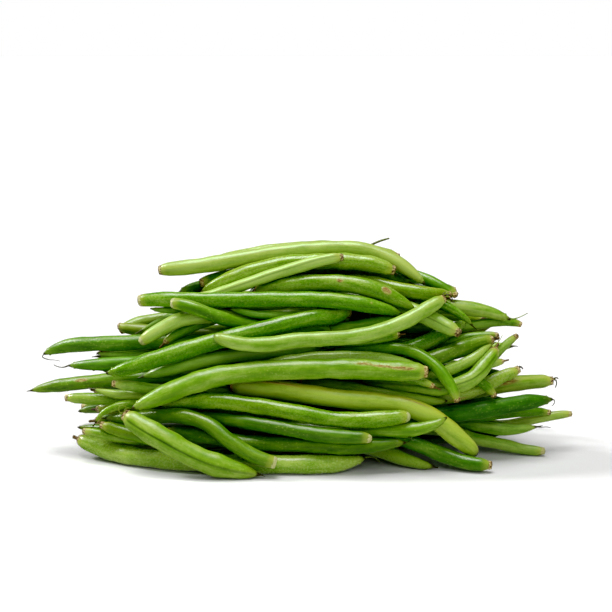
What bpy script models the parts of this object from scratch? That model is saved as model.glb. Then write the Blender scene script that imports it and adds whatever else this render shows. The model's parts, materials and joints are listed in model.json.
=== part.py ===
"""A loose heap of fresh green beans, lying mostly left to right as they were put down.

Every bean is one closed solid: a stalk end, a slender body and a tapering tail. The beans that
lead the look of the heap are objects of their own. The rest lie deeper in it or at its back, and
join in hands of a few beans whose inner ends meet inside the heap.

The heap rests on its lowest beans. Its origin is under the middle of it, +Z is up and the front
faces -Y. All the tables are in millimetres.
"""

import bmesh
import bpy
import numpy as np

# Driving dimensions, in millimetres
MM = 0.001
HEAP_HEIGHT = 110.0  # the height that the two faces of the heap lean back over
FACE_FOOT = 60.0  # from the middle plane to the foot of either face
FACE_LEAN = 55.0  # how far a face has leaned in at the top
FACE_BULGE = 1.3  # 1 is a flat face, and more makes the face steep at its foot
SIGHT = (3.0, -713.5, 197.5)  # depth behind the front face runs straight away from this point
GAP = 0.36  # left between beans that touch
STALK_STATIONS = (0.0, 3.0, 9.0)  # along the bean, from the cut stalk
STALK_GIRTHS = (0.5, 0.76, 0.94)  # of the bean's own radius, at those stations
TAIL_STATIONS = (13.0, 4.5, 0.0)  # back from the tip
TAIL_GIRTHS = (0.88, 0.53, 0.14)
CAP_DOME = 0.4  # how far an end bulges past its last ring
LEAD_PITCH = 13.5  # between rings on a bean of its own
HAND_PITCH = 20.0  # between rings on a bean of a hand
KNOT_REACH = 17.0  # the beans of a hand may grow into each other this near their knot
SEED = 7

# Each bean: its thickness, then its route from stalk end to tail as (across, up the front face,
# depth behind the face).
LEAD_BEANS = {
    "floor_front": (9.3, [(-104, 18, 33), (-90, 13.2, 27), (-75, 9.8, 19), (-55, 7.3, 12),
                          (-30, 6.2, 8), (-5, 6.2, 7), (15, 6.8, 8), (31, 9.5, 12)]),
    "seam_diagonal": (9.2, [(-83, 29, 4), (-76, 24.4, 2), (-68, 20, 0), (-60, 15.3, 0),
                            (-50, 10.6, 0), (-40, 6.6, 0), (-30, 4.2, 0), (-19, 2, 0)]),
    "cut_diagonal": (7.3, [(-11.5, 7.3, 0), (-21, 10.4, 1), (-30, 15.3, 2), (-38, 21, 4),
                           (-45, 25.8, 5), (-52, 28.2, 6), (-60, 29.2, 8), (-72, 28.5, 13),
                           (-92, 27, 24)]),
    "low_yellow": (7.8, [(-62, 21, 13), (-45, 18.8, 8), (-25, 16, 7), (-10, 15.2, 7), (5, 14.4, 6),
                         (20, 14, 5), (32, 14.7, 4), (41, 16.2, 4), (50, 16.3, 4)]),
    "cut_low": (7.0, [(34, 17.4, 2), (20, 18, 2), (10, 18.9, 2), (0, 20.6, 3), (-10, 22.3, 4),
                      (-20, 24, 5), (-30, 25.5, 8), (-45, 27, 14), (-68, 27, 22)]),
    "front_lower": (8.0, [(52, 27.6, 2), (42, 26.5, 1), (32, 25.8, 1), (20, 25.8, 1), (10, 27, 1),
                          (0, 28.7, 1), (-14, 31, 2), (-28, 32.8, 3), (-40, 34, 4), (-50, 33.4, 6),
                          (-66, 32.5, 10)]),
    "low_right_tip": (7.0, [(-30, 24, 18), (0, 22.5, 14), (22, 21.5, 10), (35, 21.2, 7),
                            (47, 21.9, 5), (57, 23.2, 3), (64, 25, 2), (70, 27.7, 2)]),
    "pale_thick": (9.5, [(-33, 41, 13), (-15, 40, 9), (0, 38, 7), (15, 36, 6), (30, 34.4, 6),
                         (45, 33, 6), (55, 30.6, 6), (64, 26.2, 7), (72, 20.2, 9), (79, 14.6, 12),
                         (83, 11, 14)]),
    "centre_long": (9.7, [(61, 47.4, 1), (40, 48, 0), (20, 48.8, 0), (0, 48.5, 0), (-20, 47.6, 0),
                          (-38, 45.3, 0), (-50, 42.5, 0), (-60, 38.6, 0), (-70, 34.7, 1),
                          (-79, 31, 2)]),
    "centre_upper": (8.0, [(-32, 49.5, 12), (-18, 51.7, 9), (-8, 53, 7), (2, 54, 6), (15, 54.5, 6),
                           (30, 54, 6), (42, 52.7, 6), (52, 50.9, 7), (60, 49.2, 8)]),
    "floor_right": (7.3, [(90, 6.3, 9), (84, 6.4, 9), (76, 7.4, 11), (68, 10, 13), (60, 13, 14),
                          (52, 15.7, 15), (42, 18.4, 18), (20, 21, 25)]),
    "floor_small_tip": (7.3, [(-22, 18, 34), (0, 17.5, 31), (20, 15.8, 28), (30, 14, 26),
                              (40, 11.5, 23), (48, 9, 19), (55, 6.9, 16), (62, 5.7, 14)]),
    "right_floor_back": (6.0, [(115, 12.7, 35), (106, 14.3, 37), (98, 16.5, 37), (90, 18, 37),
                               (82, 20.2, 35), (72, 23, 31), (50, 25, 27), (25, 26, 27)]),
    "right_dark_tip": (8.5, [(30, 28, 27), (50, 28.3, 22), (62, 28.5, 19), (72, 29, 18),
                             (85, 30.6, 19), (95, 32, 21), (105, 33.8, 24), (120, 35.3, 29)]),
    "right_brown_end": (4.8, [(118.5, 29.6, 38), (110, 29.6, 36), (100, 28.9, 34), (88, 27.6, 31),
                              (72, 26, 30), (45, 26, 34)]),
    "right_far_end": (4.8, [(128.5, 29, 42), (118, 27.4, 42), (108, 25.4, 42), (98, 23.6, 42),
                            (85, 23, 42), (55, 24, 45)]),
    "right_rough_tip": (6.8, [(45, 30, 42), (60, 27.5, 38), (70, 25.8, 36), (80, 24.1, 35),
                              (90, 22.6, 34), (100, 21.8, 34), (111, 23.2, 36)]),
    "right_scarred": (7.9, [(119.5, 43.5, 34), (108, 43.3, 31), (100, 42.6, 29), (93, 41.8, 27),
                            (85, 40.4, 25), (75, 38.8, 23), (55, 38, 24), (35, 39, 27)]),
    "left_cut_low": (6.4, [(-94, 24.3, 18), (-88, 22.8, 17), (-80, 20.8, 16), (-70, 18.6, 16),
                           (-55, 16.6, 17), (-35, 17, 20), (-5, 17, 24)]),
    "right_dark_end": (7.0, [(104, 48.7, 22), (96, 47.8, 20), (88, 45.6, 18), (80, 42.4, 16),
                             (70, 39.5, 17), (52, 39.5, 20), (28, 41, 24)]),
    "right_pale_seam": (6.6, [(94, 58, 12), (89, 52, 10), (84, 47.2, 9), (78, 42.6, 9),
                              (70, 40.4, 11), (50, 41.5, 17), (28, 43, 22)]),
    "right_broad": (8.3, [(92, 61.5, 16), (82, 58.7, 13), (74, 55.8, 11), (66, 53.4, 10),
                          (56, 50.8, 12), (38, 49, 18), (12, 48, 23)]),
    "upper_cut_end": (7.2, [(77, 64, 2), (71, 67, 3), (64, 70.2, 4), (57, 73.2, 6), (47, 76.5, 9),
                            (30, 79.5, 13), (0, 80.5, 18)]),
    "crossing_long": (7.3, [(70.5, 80, 2), (60, 74.2, 1), (50, 69.1, 0), (40, 65.6, 0),
                            (28, 62.8, 0), (15, 61.7, 0), (2, 61.2, 0), (-8, 60, 0),
                            (-18, 59, 0), (-26, 59.2, 0), (-34, 60.4, 0), (-41.5, 62.6, 1)]),
    "left_long": (8.8, [(26, 69.6, 12), (12, 69.5, 8), (0, 68.9, 6), (-12, 67.6, 5), (-25, 65.2, 4),
                        (-38, 62.1, 3), (-50, 58.8, 3), (-62, 55.3, 3), (-75, 51.3, 3),
                        (-85, 48.2, 4), (-92, 46.6, 5)]),
    "upper_long": (7.6, [(-78, 78.6, 8), (-62, 78.7, 5), (-45, 78.4, 3), (-28, 78.2, 2),
                         (-10, 77.9, 1), (5, 77.3, 1), (20, 76.3, 1), (35, 74.9, 2),
                         (50, 72.4, 4)]),
    "upper_left_cut": (6.6, [(-59, 77.6, 1), (-52, 75.4, 0), (-44, 72.6, 1), (-36, 69.7, 4),
                             (-25, 66.4, 9), (-8, 64.5, 14), (18, 64, 18)]),
    "left_tip_high": (7.7, [(8, 63, 24), (-25, 62.5, 21), (-50, 62.2, 18), (-66, 61.9, 17),
                            (-80, 61, 17), (-92, 60.4, 19), (-105, 59.7, 24), (-114, 58.2, 28),
                            (-121, 55.6, 31)]),
    "left_blunt": (7.4, [(-77, 59.6, 7), (-70, 63, 7), (-62, 66.8, 7), (-54, 69.2, 8),
                         (-45, 69.8, 10), (-34, 69, 13), (-15, 69, 16), (12, 70, 19)]),
    "left_tip_mid": (6.9, [(0, 55, 24), (-30, 53.5, 20), (-55, 52.3, 16), (-72, 51.7, 14),
                           (-85, 51, 16), (-95, 50.5, 19), (-103, 50.3, 22), (-110, 50, 25)]),
    "left_tip_scarred": (7.2, [(-12, 47, 22), (-40, 46, 18), (-65, 45.6, 15), (-80, 44.9, 15),
                               (-94, 43.7, 18), (-103, 42.7, 22), (-112, 41.8, 26),
                               (-120, 40.5, 30), (-127, 39.2, 33)]),
    "left_pink_cut": (5.7, [(-89.5, 42.3, 8), (-82, 41.2, 8), (-74, 40, 9), (-62, 38.8, 12),
                            (-42, 38.5, 17), (-12, 40, 22)]),
    "right_hook": (5.9, [(75.3, 33, 2), (72.6, 38, 2), (69, 43, 3), (65, 47.5, 4), (60, 51.4, 5),
                         (54, 54.3, 7), (47, 56, 9), (38, 56.8, 11), (15, 57, 15)]),
    "crown": (7.9, [(-69, 92.2, 13), (-58, 92.8, 11), (-45, 94, 10), (-32, 95.8, 10),
                    (-18, 98, 10), (-2, 100, 10), (15, 101.2, 10), (28, 101, 10),
                    (38, 98.8, 10), (46, 95.6, 9), (53, 91.6, 9), (61, 85.8, 9)]),
    "crown_thick": (8.6, [(46.5, 92, 5), (40, 94, 4), (32, 95.5, 4), (20, 96.2, 4), (8, 96, 4),
                          (-4, 95.3, 5), (-16, 93.3, 6), (-27, 90.4, 7), (-36, 87.2, 8),
                          (-48, 82.4, 11)]),
    "crown_slender": (6.8, [(21.5, 98.4, -3), (12, 96.6, -3), (2, 94, -2), (-8, 91.3, -1),
                            (-18, 88.2, 0), (-28, 84.9, 1), (-37, 82, 4), (-48, 79.4, 9),
                            (-66, 77, 16)]),
    "upper_right": (7.0, [(73, 81, 9), (66, 81.6, 7), (58, 82.5, 6), (50, 84.3, 6), (42, 86.6, 8),
                          (32, 88.6, 11), (8, 91, 15)]),
    "spotted": (8.6, [(-22, 82.4, 9), (-10, 84.3, 5), (-2, 85.6, 3), (7, 86.4, 2), (16, 86.5, 1),
                      (25, 85.7, 1), (33, 84, 1), (41, 81.4, 2), (48, 78.3, 3), (56, 74.3, 4)]),
    "right_tail_high": (7.6, [(38, 79, 20), (50, 78.4, 18), (62, 78, 17), (72, 77.5, 17),
                              (80, 76.6, 17), (88, 75.2, 18), (94, 73.4, 19), (100, 70.8, 20)]),
    "lower_right_dark": (6.6, [(0, 44, 20), (20, 42.3, 16), (32, 40.4, 14), (45, 38.4, 13),
                               (57, 36.6, 12), (70, 34.6, 12)]),
}

# The beans that show only an end or a slip of green, in hands. Each hand: the knot where their
# inner ends meet, then each bean's thickness, which end is out and its route from the outer end.
FRONT_HANDS = {
    "hand_left_low": ((22, 25, 40), [
        (4.2, "tail", [(-96, 25.3, 12), (-94.3, 28, 12), (-91, 30.5, 12), (-86, 32.5, 12),
                       (-78, 34, 14), (-50, 33, 22), (-15, 30, 30)]),
        (5.2, "stalk", [(-101, 21.3, 21), (-94, 19.8, 20), (-84, 17.6, 20), (-72, 15.8, 21),
                        (-50, 15, 25), (-15, 18, 33)]),
        (6.0, "stalk", [(-110, 36, 22), (-103, 36, 20), (-95, 35.8, 18), (-86, 35.5, 18),
                        (-72, 35, 19), (-40, 34, 26), (-8, 31, 34)]),
        (5.3, "tail", [(-97, 39.6, 15), (-91, 37.8, 14), (-85, 36.8, 13), (-74, 36.5, 14),
                       (-45, 37, 21), (-10, 34, 30)]),
        (6.0, "tail", [(-62, 13, 24), (-48, 12.4, 21), (-30, 11.7, 18), (-10, 11.4, 18),
                       (5, 13, 25)]),
    ]),
    "hand_left_high": ((26, 68, 34), [
        (7.0, "tail", [(-76, 44.5, 13), (-62, 48, 11), (-52, 50.4, 11), (-42, 52.5, 11),
                       (-30, 54.2, 12), (-18, 55.7, 14), (5, 60, 25)]),
        (4.2, "tail", [(-97, 56.4, 22), (-91, 56, 21), (-84, 55.8, 21), (-70, 56.4, 22),
                       (-35, 60, 28), (0, 65, 33)]),
        (5.5, "stalk", [(-66, 58.8, 11), (-60, 60.6, 11), (-54, 62.6, 11), (-46, 65.2, 12),
                        (-36, 67.5, 15), (-10, 69, 24)]),
        (4.2, "tail", [(-73, 75.2, 12), (-67, 73.9, 11), (-58, 73.4, 11), (-45, 73.6, 13),
                       (-15, 73, 20), (8, 71, 29)]),
        (4.0, "tail", [(-77, 65, 13), (-71, 68, 13), (-64, 71, 13), (-52, 74.5, 15),
                       (-30, 77, 20), (0, 75, 29)]),
        (4.3, "tail", [(-32, 75.4, 2), (-26, 73.5, 2), (-19, 71.8, 3), (-10, 70.8, 5),
                       (2, 70.4, 9), (16, 70, 21)]),
    ]),
    "hand_right_low": ((-24, 37, 38), [
        (4.6, "stalk", [(65, 40.2, 10), (58, 42, 10), (50, 43.6, 11), (40, 44.3, 12),
                        (25, 44.6, 16), (0, 42, 28)]),
        (4.6, "tail", [(70.5, 34, 22), (63, 32.3, 21), (55, 33, 21), (42, 34.5, 24), (10, 36, 32)]),
        (5.0, "stalk", [(97, 52, 21), (90, 50.3, 20), (82, 47, 20), (66, 43, 23), (38, 40, 29),
                        (5, 38, 35)]),
        (5.5, "stalk", [(94, 35, 13), (89, 38, 13), (83, 41, 13), (75, 43.8, 15), (58, 46, 21),
                        (20, 43, 31)]),
        (4.4, "stalk", [(104, 63, 19), (99, 59, 18), (95, 55, 18), (90, 50, 19), (82, 44.5, 22),
                        (60, 38, 29), (20, 36, 36)]),
        (5.6, "tail", [(92.5, 60, 13), (87, 55, 13), (82, 51.3, 13), (76, 47.6, 14),
                       (68, 44.8, 17), (45, 42, 25), (8, 40, 34)]),
    ]),
    "hand_right_high": ((-30, 68, 36), [
        (5.2, "stalk", [(48.5, 63.6, 8), (38, 61.5, 8), (28, 60.6, 9), (14, 61, 14),
                        (-8, 64, 25)]),
        (6.2, "tail", [(54, 69.4, 9), (42, 69.9, 9), (32, 69.2, 9), (22, 67, 11), (8, 65, 19),
                       (-12, 66, 29)]),
        (5.6, "stalk", [(75, 81.3, 14), (69, 83.5, 13), (63, 86, 13), (56, 88.3, 14),
                        (46, 90, 17), (20, 88, 26), (-10, 78, 33)]),
        (5.6, "tail", [(84, 67, 12), (79, 69.2, 12), (72, 72, 13), (62, 75, 15), (40, 77, 21),
                       (5, 74, 31)]),
        (4.7, "stalk", [(94, 63.3, 18), (86, 63.2, 17), (78, 61.6, 17), (67, 59.5, 19),
                        (40, 60, 26), (0, 64, 34)]),
        (4.8, "stalk", [(105, 68.3, 28), (96, 67.7, 25), (87, 66.6, 23), (78, 64.8, 23),
                        (64, 63, 25), (30, 63, 31), (-5, 67, 36)]),
        (8.0, "tail", [(78, 68.5, 17), (71, 65.4, 16), (63, 62, 16), (54, 58.6, 16),
                       (44, 56.5, 18), (20, 58, 27), (-8, 63, 34)]),
    ]),
}

# The back of the heap, in the same words but measured on the back face. Across runs the same way
# as at the front.
BACK_BEANS = {
    "back_slope": (8.6, [(62, 33, 2), (40, 37, 0), (18, 42.5, 0), (-6, 47.5, 0), (-30, 50, 0),
                         (-54, 49, 1), (-76, 45, 4)]),
    "back_long": (8.0, [(-70, 64.5, 4), (-48, 66, 1), (-22, 65, 0), (4, 62, 0), (30, 58.5, 0),
                        (52, 56.5, 1), (72, 56.5, 4)]),
    "back_low": (8.4, [(-58, 15, 1), (-38, 19, 0), (-15, 24, 0), (8, 27, 0), (30, 27, 0),
                       (54, 23, 1), (74, 16, 4)]),
    "back_floor": (8.8, [(74, 5, 4), (50, 4.8, 0), (22, 5.2, 0), (-8, 6.3, 0), (-36, 6.6, 2),
                         (-64, 5, 6)]),
    "back_top": (7.6, [(58, 76, 5), (36, 80.5, 2), (12, 83, 0), (-12, 83, 0), (-34, 81, 1),
                       (-56, 76, 5)]),
    "crown_back": (7.4, [(-60, 88, 7), (-42, 92, 3), (-20, 95, 1), (4, 95, 0), (26, 92, 0),
                         (46, 87, 2), (64, 80, 5)]),
    "crown_behind": (7.8, [(50, 95.5, 10), (30, 99, 7), (8, 100, 5), (-14, 98, 5), (-36, 94, 8),
                           (-56, 88.5, 12)]),
    "crown_inside": (7.2, [(-50, 84, 26), (-30, 88, 23), (-8, 90, 22), (14, 90.5, 21),
                           (36, 88.5, 22), (56, 83.5, 25)]),
}
BACK_KNOTS = {(-1, "low"): (40, 22, 34), (1, "low"): (-42, 26, 32),
              (-1, "high"): (38, 58, 27), (1, "high"): (-40, 61, 25)}
BACK_ROW_PITCH = 9.2  # up the back face, from one row of beans to the next
BACK_TOP_ROW = 80.0
BACK_LAYERS = (5.0, 14.0)  # how deep behind the face the rows of each layer lie
BACK_REACH = 116.0  # the longest row's end, from the middle
BACK_WIDEST_UP = 25.0  # where up the face that row lies
BACK_TAPER = 0.019  # how fast the rows get shorter above and below it

# Inside the heap: only their outer ends show, at its left and right ends. Here the third number
# is the place from front to back, from the middle plane.
INNER_HANDS = {
    "hand_inner_left_low": ((34, 14, 2), [
        (7.0, "tail", [(-113, 16, 6), (-90, 16, 5), (-60, 16, 3), (-20, 15, 3)]),
        (6.8, "tail", [(-116, 5, 16), (-94, 5, 13), (-62, 6, 9), (-20, 10, 8)]),
        (6.8, "tail", [(-105, 7, -12), (-82, 7, -13), (-52, 8, -10), (-12, 11, -4)]),
        (7.2, "stalk", [(-98, 6, 2), (-76, 6, 1), (-46, 7, 1), (-8, 10, 1)]),
        (6.6, "stalk", [(-101, 26, 16), (-78, 25, 13), (-48, 22, 10), (-8, 18, 7)]),
        (6.8, "stalk", [(-103, 21, -9), (-80, 21, -10), (-50, 20, -8), (-10, 16, -3)]),
    ]),
    "hand_inner_left_high": ((30, 44, 2), [
        (7.2, "stalk", [(-109, 33, 3), (-84, 33, 2), (-54, 34, 2), (-14, 38, 3)]),
        (6.6, "stalk", [(-98, 49, 3), (-76, 48, 1), (-46, 47, 2), (-8, 45, 3)]),
        (6.4, "tail", [(-95, 41, -9), (-72, 41, -9), (-42, 42, -6), (-6, 43, -2)]),
        (6.8, "tail", [(-97, 41, 14), (-74, 41, 11), (-44, 42, 8), (-6, 43, 5)]),
        (6.6, "stalk", [(-88, 61, 0), (-66, 61, -2), (-38, 60, -2), (-4, 53, 0)]),
        (6.4, "tail", [(-76, 76, 2), (-54, 76, 1), (-28, 72, 0), (-2, 60, 1)]),
        (6.6, "stalk", [(-99, 31, -14), (-76, 31, -14), (-46, 34, -11), (-6, 41, -5)]),
    ]),
    "hand_inner_right_low": ((-34, 14, 4), [
        (7.2, "stalk", [(111, 17, 8), (88, 17, 6), (58, 17, 4), (18, 16, 4)]),
        (7.0, "tail", [(107, 5, 19), (84, 5, 15), (54, 7, 11), (16, 10, 8)]),
        (6.6, "tail", [(103, 9, -6), (80, 9, -9), (50, 9, -9), (12, 12, -3)]),
        (7.0, "stalk", [(96, 6, 6), (74, 6, 4), (44, 7, 2), (6, 10, 2)]),
        (6.8, "tail", [(102, 27, 17), (80, 26, 14), (50, 23, 11), (12, 18, 7)]),
        (6.4, "stalk", [(98, 22, -4), (76, 22, -8), (46, 20, -8), (8, 16, -2)]),
    ]),
    "hand_inner_right_high": ((-30, 44, 2), [
        (6.8, "tail", [(114, 33, 4), (92, 33, 2), (62, 34, 2), (22, 38, 3)]),
        (6.4, "stalk", [(97, 49, 5), (76, 48, 3), (48, 47, 2), (12, 45, 3)]),
        (6.8, "stalk", [(96, 41, 15), (74, 41, 12), (44, 42, 9), (6, 43, 5)]),
        (6.6, "tail", [(90, 60, 3), (68, 61, 0), (40, 60, -1), (6, 53, 0)]),
        (6.4, "stalk", [(74, 79, 5), (54, 79, 3), (30, 74, 1), (4, 60, 1)]),
        (6.8, "tail", [(101, 39, -9), (78, 39, -9), (48, 40, -7), (8, 43, -3)]),
    ]),
}

# Skin colours, linear. A bean that isn't listed here is green.
GREEN = (0.17, 0.33, 0.035)
PALE = (0.30, 0.47, 0.11)
DARK = (0.07, 0.17, 0.012)
YELLOWING = (0.38, 0.45, 0.08)
SKIN_ROUGHNESS = 0.38
SKINS = {
    PALE: ("seam_diagonal", "centre_long", "crown_slender", "crossing_long", "right_pale_seam",
           "upper_cut_end", "crown_thick", "left_blunt", "low_right_tip", "right_hook",
           "back_long", "crown_behind"),
    YELLOWING: ("pale_thick", "low_yellow", "back_slope"),
    DARK: ("cut_diagonal", "floor_right", "floor_small_tip", "right_dark_tip", "right_broad",
           "lower_right_dark", "cut_low", "hand_inner_left_low", "hand_inner_left_high",
           "hand_inner_right_low", "hand_inner_right_high", "crown_inside"),
}


def depth_line(across, y, up):
    """How far across and up a front layer shifts for each mm that it lies further back."""
    reach = y - SIGHT[1]
    return np.stack([(across - SIGHT[0]) / reach, np.ones_like(reach), (up - SIGHT[2]) / reach],
                    axis=-1)


def from_front(across, up, behind):
    """A point of the front tables in the heap's own frame."""
    y = FACE_LEAN * (max(up, 0.0) / HEAP_HEIGHT) ** FACE_BULGE - FACE_FOOT
    return np.array([across, y, up]) + behind * depth_line(across, np.float64(y), up)


def from_back(across, up, behind):
    """A point of the back tables in the heap's own frame."""
    lean = FACE_LEAN * (max(up, 0.0) / HEAP_HEIGHT) ** FACE_BULGE
    return across, FACE_FOOT - lean - behind, up


def from_inside(across, up, y):
    return across, y, up


def smooth_route(points, steps=24):
    """A dense Catmull-Rom route through the points."""
    points = np.array(points, float)
    ends = np.vstack([2 * points[:1] - points[1:2], points, 2 * points[-1:] - points[-2:-1]])
    t = np.linspace(0, 1, steps, endpoint=False)[:, None]
    pieces = []
    for a, b, c, d in zip(ends, ends[1:], ends[2:], ends[3:]):
        pieces.append(0.5 * (2 * b + (c - a) * t + (2 * a - 5 * b + 4 * c - d) * t**2
                             + (3 * b - a - 3 * c + d) * t**3))
    return np.vstack(pieces + [points[-1:]])


def stations(length, pitch):
    """Where a bean's rings stand along it, and their share of its radius."""
    head, tail = STALK_STATIONS[-1], length - TAIL_STATIONS[0]
    between = max(2, round((tail - head) / pitch) - 1)
    middle = np.linspace(head, tail, between + 2)[1:-1]
    along = np.concatenate([STALK_STATIONS, middle, length - np.array(TAIL_STATIONS)])
    girth = np.concatenate([STALK_GIRTHS, np.ones(between), TAIL_GIRTHS])
    return along, girth


def bean(name, thickness, route, pitch, hand=None, outer="stalk"):
    """One bean as rings: centres from stalk end to tail, and radii."""
    dense = smooth_route(route)
    run = np.concatenate([[0], np.linalg.norm(np.diff(dense, axis=0), axis=1).cumsum()])
    along, girth = stations(run[-1], pitch)
    centres = np.stack([np.interp(along, run, dense[:, i]) for i in range(3)], axis=1)
    return {"name": name, "hand": hand, "outer": outer, "centres": centres,
            "radii": girth * thickness / 2, "along": along}


def back_rows():
    """The beans of the back face, in rows that point left and right by turns. Their inner ends
    meet in four hands. Each comes as its hand, thickness, outer end and route."""
    chance = np.random.default_rng(SEED)
    for layer, depth in enumerate(BACK_LAYERS):
        for row, up in enumerate(np.arange(5.0, BACK_TOP_ROW, BACK_ROW_PITCH)):
            side = -1 if (row + layer) % 2 else 1
            band = "low" if up < 42 else "high"
            reach = BACK_REACH - BACK_TAPER * (up - BACK_WIDEST_UP) ** 2 - 5 * layer
            reach += chance.uniform(-10, 5)
            tilt, bow = chance.uniform(-5, 5), chance.uniform(-2, 3)
            knot = BACK_KNOTS[side, band]
            dive = (up + knot[1]) / 2
            route = [(side * reach, up + tilt, depth + 15),
                     (side * reach * 0.82, up + 0.7 * tilt + bow, depth + 6),
                     (side * reach * 0.5, up + 0.3 * tilt + bow, depth + 1),
                     (side * 14, up, depth), (-side * 12, up - 0.3 * tilt, depth + 4),
                     (-side * 27, dive, depth + 12), knot]
            name = f"hand_back_{'left' if side < 0 else 'right'}_{band}"
            yield name, chance.uniform(6.6, 8.4), chance.choice(["stalk", "tail"]), route


def all_beans():
    """Every bean of the heap, before they are pressed apart."""
    beans = []
    for table, place in ((LEAD_BEANS, from_front), (BACK_BEANS, from_back)):
        for name, (thickness, route) in table.items():
            beans.append(bean(name, thickness, [place(*point) for point in route], LEAD_PITCH))
            beans[-1]["seen"] = place is from_front
    joined = [(hand, *member[:2], [*member[2], knot], place)
              for table, place in ((FRONT_HANDS, from_front), (INNER_HANDS, from_inside))
              for hand, (knot, members) in table.items() for member in members]
    joined += [(*row, from_back) for row in back_rows()]
    for hand, thickness, outer, route, place in sorted(joined, key=lambda row: row[0]):
        route = [place(*point) for point in route]
        if outer == "tail":
            route.reverse()
        beans.append(bean(hand, thickness, route, HAND_PITCH, hand, outer))
        beans[-1]["seen"] = place is from_front
    return beans


class Rings:
    """The rings of every bean in one set of arrays, and which of them follow each other."""

    def __init__(self, beans):
        counts = [len(one["radii"]) for one in beans]
        self.first = np.concatenate([[0], np.cumsum(counts)])
        self.at = np.concatenate([one["centres"] for one in beans])
        self.home = self.at.copy()
        self.radius = np.concatenate([one["radii"] for one in beans])
        self.owner = np.repeat(np.arange(len(beans)), counts)
        self.a = np.flatnonzero(self.owner[:-1] == self.owner[1:])
        self.rest = np.linalg.norm(self.at[self.a + 1] - self.at[self.a], axis=1)
        self.lead = np.repeat([one["hand"] is None for one in beans], counts)
        seen = np.repeat([one["seen"] for one in beans], counts)
        self.line = depth_line(*self.home.T) * [1, 0, 1] * seen[:, None]
        names = sorted({one["hand"] for one in beans if one["hand"]})
        self.hand = np.repeat([names.index(one["hand"]) if one["hand"] else -1 for one in beans],
                              counts)
        from_knot = [one["along"][::-1].max() - one["along"] if one["outer"] == "stalk"
                     else one["along"] for one in beans]
        self.from_knot = np.concatenate(from_knot)
        self.knots = [np.array([self.first[i + 1] - 1 if one["outer"] == "stalk"
                                else self.first[i]
                                for i, one in enumerate(beans) if one["hand"] == name])
                      for name in names]


def near_pairs(rings, reach):
    """Pairs of stretches between rings, of different beans, that lie within reach."""
    a = rings.a
    middle = (rings.at[a] + rings.at[a + 1]) / 2
    half = rings.rest / 2 + np.maximum(rings.radius[a], rings.radius[a + 1])
    gap = np.linalg.norm(middle[:, None] - middle[None], axis=2) - half[:, None] - half[None]
    i, j = np.nonzero(np.triu(gap < reach, 1) & (rings.owner[a][:, None] != rings.owner[a][None]))
    p, q = a[i], a[j]
    knotted = (rings.hand[p] >= 0) & (rings.hand[p] == rings.hand[q])
    for k in (p, q):
        knotted &= np.minimum(rings.from_knot[k], rings.from_knot[k + 1]) < KNOT_REACH
    return p[~knotted], q[~knotted]


def closest(rings, p, q):
    """For each pair of stretches, how far along each the closest points lie, and the step
    between those points."""
    start, other = rings.at[p], rings.at[q]
    u, v, w = rings.at[p + 1] - start, rings.at[q + 1] - other, start - other
    uu, uv, vv = (u * u).sum(1), (u * v).sum(1), (v * v).sum(1)
    uw, vw = (u * w).sum(1), (v * w).sum(1)
    slant = uu * vv - uv * uv
    s = np.clip(np.where(slant > 1e-9 * uu * vv, (uv * vw - vv * uw) / np.maximum(slant, 1e-12),
                         0.5), 0, 1)
    t = np.clip((uv * s + vw) / vv, 0, 1)
    s = np.clip((uv * t - uw) / uu, 0, 1)
    step = (start + u * s[:, None]) - (other + v * t[:, None])
    return s, t, step


def smooth_shift(rings, amount):
    """Evens out, along each bean, how far its rings have moved from home."""
    shift = rings.at - rings.home
    inner = np.flatnonzero((rings.owner[:-2] == rings.owner[1:-1])
                           & (rings.owner[2:] == rings.owner[1:-1])) + 1
    even = shift.copy()
    even[inner] = (shift[inner - 1] + shift[inner + 1]) / 2
    rings.at += amount * (even - shift)


def keep_lengths(rings):
    a = rings.a
    run = rings.at[a + 1] - rings.at[a]
    length = np.linalg.norm(run, axis=1)
    fix = run * (0.25 * (length - rings.rest) / length)[:, None]
    np.add.at(rings.at, a, fix)
    np.add.at(rings.at, a + 1, -fix)


def push_contacts(rings, p, q, share):
    """Moves apart every two beans that are nearer than GAP."""
    s, t, step = closest(rings, p, q)
    distance = np.linalg.norm(step, axis=1)
    radius = rings.radius
    wanted = (radius[p] * (1 - s) + radius[p + 1] * s + radius[q] * (1 - t) + radius[q + 1] * t
              + GAP)
    hit = distance < wanted
    p, q, s, t, step, distance = p[hit], q[hit], s[hit], t[hit], step[hit], distance[hit]
    short = wanted[hit] - distance
    way = step / np.maximum(distance, 1e-6)[:, None] * (short * share)[:, None]
    total, weight = np.zeros_like(rings.at), np.zeros(len(rings.at))
    for k, part, sign in ((p, 1 - s, 1), (p + 1, s, 1), (q, 1 - t, -1), (q + 1, t, -1)):
        np.add.at(total, k, sign * way * part[:, None])
        np.add.at(weight, k, part)
    rings.at += total / np.maximum(weight, 1)[:, None]


def press_apart(rings, rounds=2000):
    """Presses the beans apart until they only touch. Each is drawn back to its place in the
    tables: firmly across and up, and loosely in depth, so crossing beans pass behind each other.
    A front bean that goes deeper follows its depth line."""
    firm = np.where(rings.lead[:, None], (0.02, 0.004, 0.02), (0.006, 0.004, 0.006))
    for turn in range(rounds):
        if turn % 20 == 0:
            p, q = near_pairs(rings, 3.0)
        fade = max(0.0, 1 - 1.25 * turn / rounds)
        back = rings.at[:, 1:2] - rings.home[:, 1:2]
        rings.at += firm * fade * (rings.home + back * rings.line - rings.at)
        for knot in rings.knots:
            rings.at[knot] = rings.at[knot].mean(axis=0)
        smooth_shift(rings, 0.3 if turn < 0.7 * rounds else 0.04 if turn < 0.9 * rounds else 0.0)
        keep_lengths(rings)
        push_contacts(rings, p, q, 0.6 if turn < 0.7 * rounds else 0.9)
        rings.at[:, 2] = np.maximum(rings.at[:, 2], rings.radius)


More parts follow.
